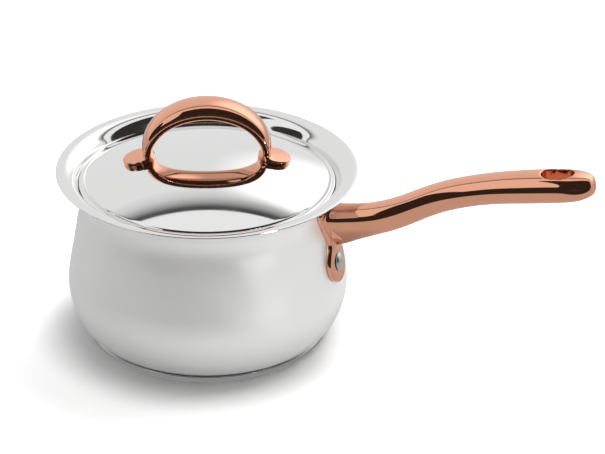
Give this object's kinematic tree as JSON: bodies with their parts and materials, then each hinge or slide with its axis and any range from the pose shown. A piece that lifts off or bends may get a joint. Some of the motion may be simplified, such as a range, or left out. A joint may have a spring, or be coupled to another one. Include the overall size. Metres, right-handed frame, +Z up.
{
  "type": "saucepan with lid",
  "caption": "Belly-shaped stainless steel saucepan with a flared lip, recessed domed lid, arched lid handle and long cast handle, both handles copper coloured.",
  "frame": {"origin": "centre of the base's underside, on the pan's axis", "axes": "+Z up the pan's axis, +X towards the tip of the long handle, +Y to its left seen from the pan"},
  "size_m": [0.3411, 0.1892, 0.1566],
  "materials": {
    "body_steel": "fine satin outside, bright lip and inside",
    "base_steel": "turned satin",
    "core_aluminium": "plain rolled, hidden",
    "lid_steel": "mirror polish",
    "copper_coat": "mirror polished steel with a copper coloured coating",
    "rivet_steel": "plain steel"
  },
  "bodies": {
    "pan": {"pan_body": "body_steel", "heat_core": "core_aluminium", "base_cap": "base_steel", "long_handle": "copper_coat", "handle_rivet": "rivet_steel", "upper_rivet_left": "rivet_steel", "upper_rivet_right": "rivet_steel"},
    "lid": {"lid_shell": "lid_steel", "lid_handle": "copper_coat", "lid_screw_left": "rivet_steel", "lid_screw_right": "rivet_steel"}
  },
  "joints": [
    {"name": "lid_lift", "type": "slide", "parent": "pan", "child": "lid", "axis": [0, 0, 1], "range_m": [0, 0.12]}
  ]
}
